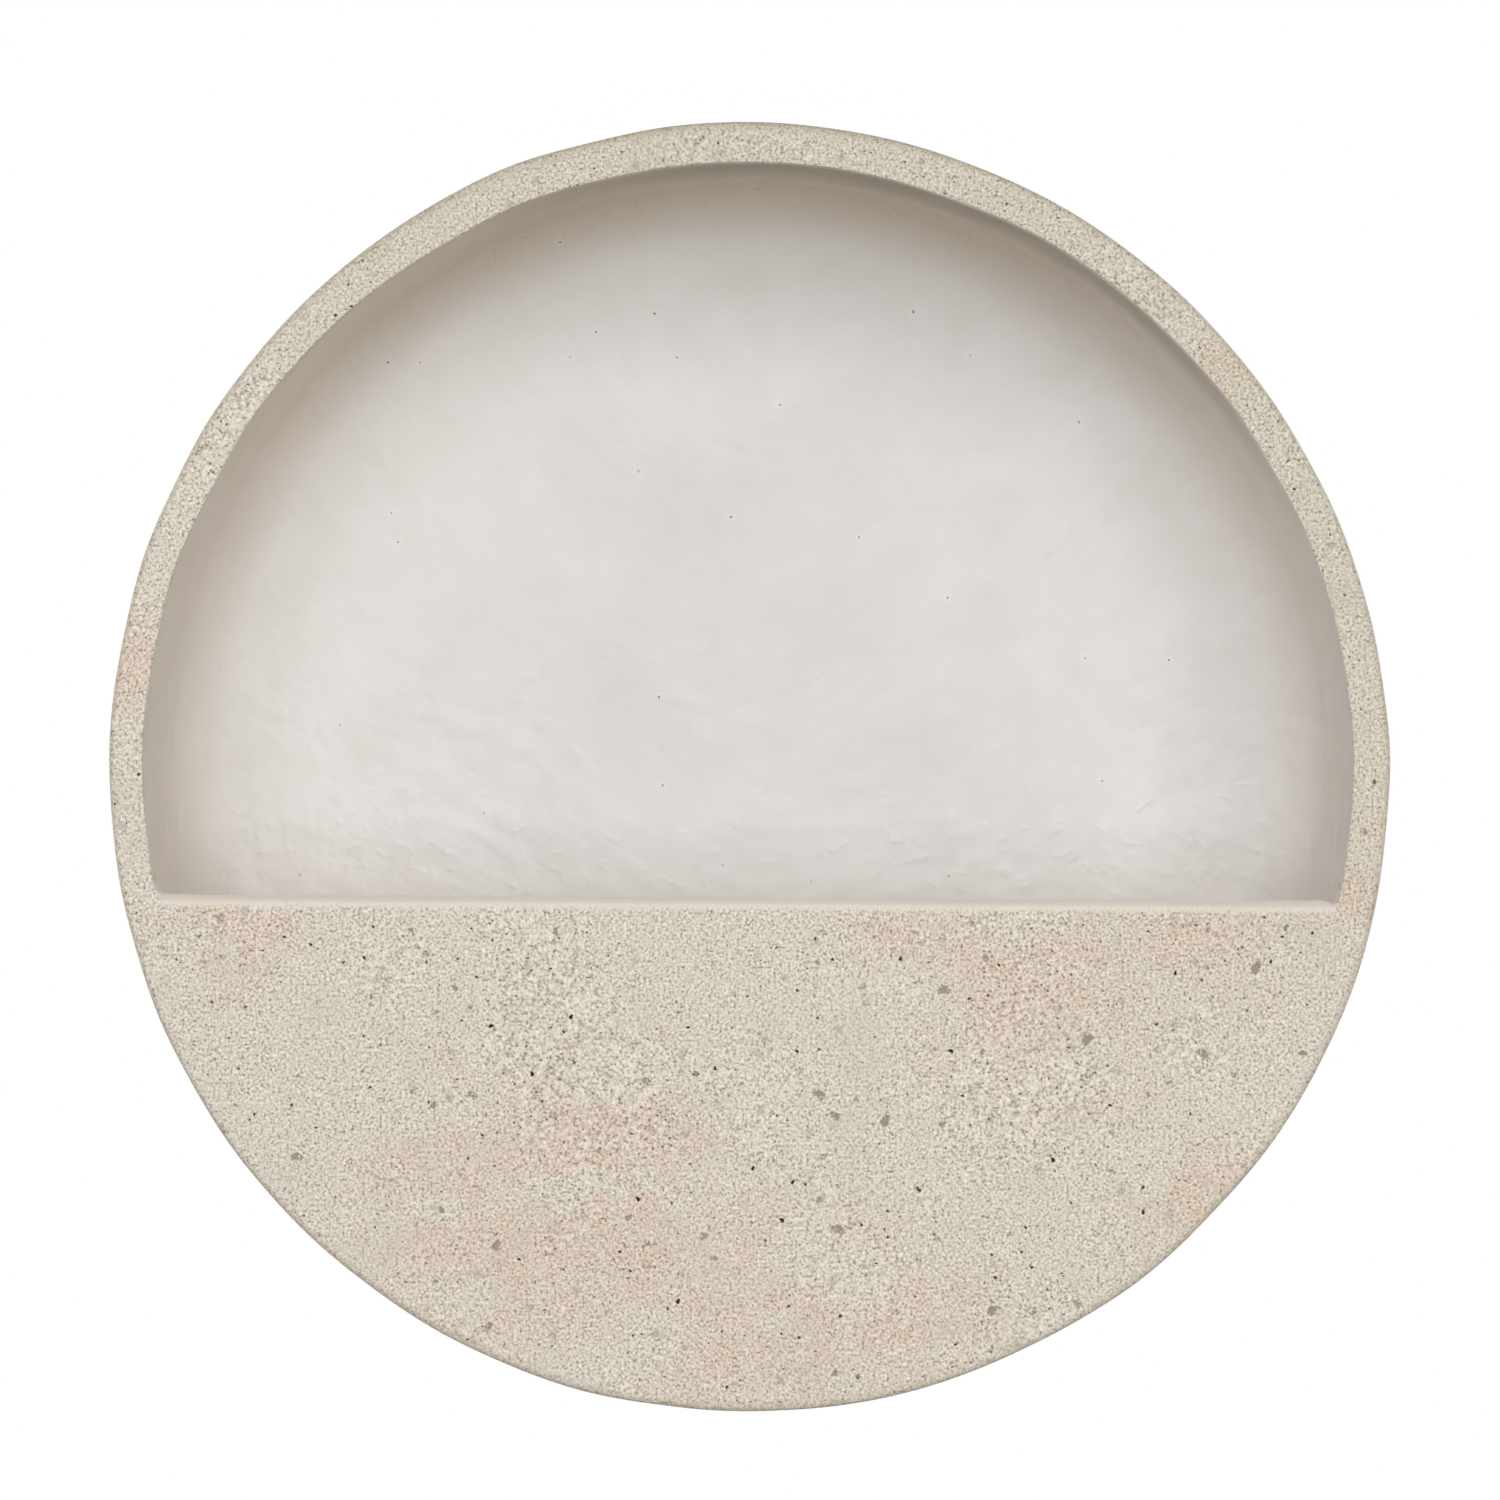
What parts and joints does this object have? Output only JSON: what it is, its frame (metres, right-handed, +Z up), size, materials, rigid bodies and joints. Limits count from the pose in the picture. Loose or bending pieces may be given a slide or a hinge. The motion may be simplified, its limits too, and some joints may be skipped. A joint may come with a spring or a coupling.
{
  "type": "wall planter",
  "caption": "Round wall planter: a shallow cast drum with an open window above a half-moon soil pocket, hung on keyhole plates, with a pull-out drain bung.",
  "frame": {"origin": "centre of the flat back face, on the plane of the wall", "axes": "+Z up; +Y into the wall, so the front faces -Y; +X to the right as seen from the front"},
  "size_m": [0.3, 0.09, 0.3],
  "materials": {
    "cast_stone": "matte",
    "lining": "matte",
    "zinc_steel": "satin",
    "nylon": "matte",
    "rubber": "matte"
  },
  "bodies": {
    "planter": {"cast_body": "cast_stone", "pocket_lining": "lining", "keyhole_plate_left": "zinc_steel", "keyhole_plate_right": "zinc_steel", "plate_screw_left_upper": "zinc_steel", "plate_screw_left_lower": "zinc_steel", "plate_screw_right_upper": "zinc_steel", "plate_screw_right_lower": "zinc_steel", "screw_anchor_left_upper": "nylon", "screw_anchor_left_lower": "nylon", "screw_anchor_right_upper": "nylon", "screw_anchor_right_lower": "nylon"},
    "bung": {"drain_bung": "rubber"}
  },
  "joints": [
    {"name": "bung_slide", "type": "slide", "parent": "planter", "child": "bung", "axis": [0, 0, -1], "range_m": [0, 0.03]}
  ]
}
